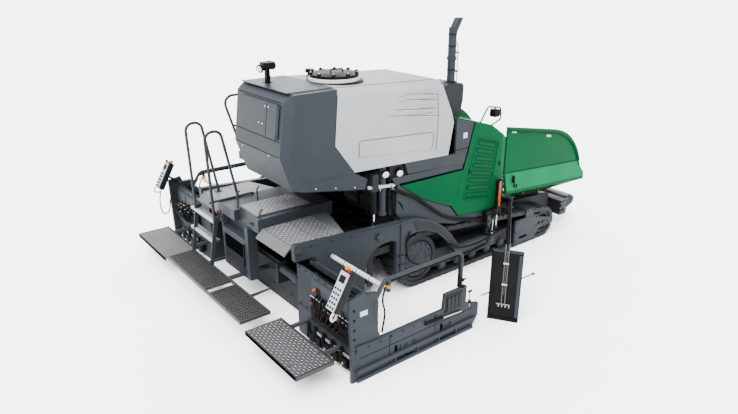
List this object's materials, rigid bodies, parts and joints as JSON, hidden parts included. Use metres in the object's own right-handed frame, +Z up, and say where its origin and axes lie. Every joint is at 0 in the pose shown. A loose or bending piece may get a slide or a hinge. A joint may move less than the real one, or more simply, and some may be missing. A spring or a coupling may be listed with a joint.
{
  "type": "asphalt paver",
  "caption": "Crawler asphalt paver with a front material hopper, an emulsion spray tank, augers and an extendable floating screed on tow arms",
  "frame": {"origin": "on the ground, at mid length and mid width of the whole machine with its screed extended", "axes": "+X direction of travel (hopper end), +Y left side of the machine, +Z up"},
  "size_m": [6.7749, 5.6982, 3.7],
  "materials": {
    "slate_paint": "satin",
    "silver_paint": "satin metallic",
    "green_paint": "gloss",
    "black_paint": "satin",
    "frame_paint": "satin",
    "deck_paint": "matt",
    "track_steel": "worn",
    "bare_steel": "worn",
    "chromed": "polished",
    "tread_aluminium": "chequered",
    "galvanised": "galvanised",
    "console_grey": "matt",
    "seat_black": "matt"
  },
  "bodies": {
    "tractor": {"main_frame": "frame_paint", "engine_block": "bare_steel", "hopper_floor": "bare_steel", "hopper_rear_wall": "slate_paint", "conveyor_slats": "bare_steel", "tracks": "track_steel", "track_frames": "frame_paint", "track_guards": "slate_paint", "engine_hood": "green_paint", "green_side_panels": "green_paint", "grey_side_panels": "slate_paint", "hood_lamps": "black_paint", "tank_body": "slate_paint", "tank_shell": "silver_paint", "tank_deck": "deck_paint", "tank_cradle": "frame_paint", "operator_deck": "slate_paint", "operator_seats": "seat_black", "operator_console": "console_grey", "guard_rails": "slate_paint", "exhaust_housing": "slate_paint", "exhaust_stack": "black_paint", "lamp_mast": "black_paint", "auger_frame": "frame_paint", "tow_points": "black_paint", "lift_barrels": "black_paint", "spray_mounts": "frame_paint"},
    "hopper_wing_right": {"hopper_wing_right": "slate_paint"},
    "hopper_wing_left": {"hopper_wing_left": "slate_paint"},
    "hopper_apron": {"hopper_apron": "slate_paint"},
    "push_beam": {"push_beam": "frame_paint"},
    "push_roller_right": {"push_roller_right": "bare_steel"},
    "push_roller_left": {"push_roller_left": "bare_steel"},
    "auger_right": {"auger_right": "bare_steel"},
    "auger_left": {"auger_left": "bare_steel"},
    "screed": {"screed_base": "frame_paint", "tow_arms": "slate_paint", "walk_gratings": "galvanised", "screed_treads": "tread_aluminium", "tread_beams": "slate_paint", "screed_curtain": "black_paint", "access_steps": "slate_paint"},
    "lift_rods": {"lift_rods": "chromed"},
    "extension_right": {"extension_frame_right": "slate_paint", "walkway_plate_right": "tread_aluminium", "end_plate_right": "slate_paint", "control_console_right": "console_grey"},
    "extension_left": {"extension_frame_left": "slate_paint", "walkway_plate_left": "tread_aluminium", "end_plate_left": "slate_paint", "control_console_left": "console_grey"},
    "spray_board_right": {"spray_board_right": "black_paint"},
    "spray_board_left": {"spray_board_left": "black_paint"},
    "tank_lid": {"tank_lid": "slate_paint"},
    "tank_door": {"tank_door": "slate_paint"}
  },
  "joints": [
    {"name": "wing_fold_right", "type": "hinge", "parent": "tractor", "child": "hopper_wing_right", "pos_m": [1.2525, -0.76, 0.74], "axis": [-0.9972, 0, 0.075], "range_deg": [-14, 30]},
    {"name": "wing_fold_left", "type": "hinge", "parent": "tractor", "child": "hopper_wing_left", "pos_m": [1.2525, 0.76, 0.74], "axis": [0.9972, 0, -0.075], "range_deg": [-14, 30]},
    {"name": "apron_fold", "type": "hinge", "parent": "tractor", "child": "hopper_apron", "pos_m": [3.17208, 0, 0.59567], "axis": [0, 1, 0], "range_deg": [0, 60]},
    {"name": "push_beam_swing", "type": "hinge", "parent": "tractor", "child": "push_beam", "pos_m": [2.8725, 0, 0.4], "axis": [0, 0, 1], "range_deg": [-6, 6]},
    {"name": "push_roller_spin_right", "type": "hinge", "parent": "push_beam", "child": "push_roller_right", "pos_m": [3.3025, -0.7, 0.4], "axis": [0, 1, 0], "continuous": true},
    {"name": "push_roller_spin_left", "type": "hinge", "parent": "push_beam", "child": "push_roller_left", "pos_m": [3.3025, 0.7, 0.4], "axis": [0, 1, 0], "continuous": true},
    {"name": "auger_spin_right", "type": "hinge", "parent": "tractor", "child": "auger_right", "pos_m": [-1.4875, -0.68, 0.33], "axis": [0, 1, 0], "continuous": true},
    {"name": "auger_spin_left", "type": "hinge", "parent": "tractor", "child": "auger_left", "pos_m": [-1.4875, 0.68, 0.33], "axis": [0, 1, 0], "continuous": true},
    {"name": "screed_lift", "type": "hinge", "parent": "tractor", "child": "screed", "pos_m": [0.8125, 0, 0.36], "axis": [0, 1, 0], "range_deg": [0, 5]},
    {"name": "lift_rod_travel", "type": "slide", "parent": "tractor", "child": "lift_rods", "axis": [0, 0, 1], "range_m": [0, 0.1938]},
    {"name": "extension_travel_right", "type": "slide", "parent": "screed", "child": "extension_right", "axis": [0, 1, 0], "range_m": [0, 1.05]},
    {"name": "extension_travel_left", "type": "slide", "parent": "screed", "child": "extension_left", "axis": [0, -1, 0], "range_m": [0, 1.05]},
    {"name": "spray_board_swing_right", "type": "hinge", "parent": "tractor", "child": "spray_board_right", "pos_m": [1.1525, -1.42, 0.94], "axis": [0, 0, 1], "range_deg": [-28, 60]},
    {"name": "spray_board_swing_left", "type": "hinge", "parent": "tractor", "child": "spray_board_left", "pos_m": [1.1525, 1.42, 0.94], "axis": [0, 0, -1], "range_deg": [-28, 60]},
    {"name": "tank_lid_open", "type": "hinge", "parent": "tractor", "child": "tank_lid", "pos_m": [-1.6675, -0.415, 3.098], "axis": [-1, 0, 0], "range_deg": [0, 100]},
    {"name": "tank_door_open", "type": "hinge", "parent": "tractor", "child": "tank_door", "pos_m": [-2.7115, -1.12, 2.66], "axis": [0.1376, 0, 0.9905], "range_deg": [0, 100]}
  ],
  "couplings": [
    {"joint": "lift_rod_travel", "follows": "screed_lift", "m_per_rad": 2.22}
  ]
}
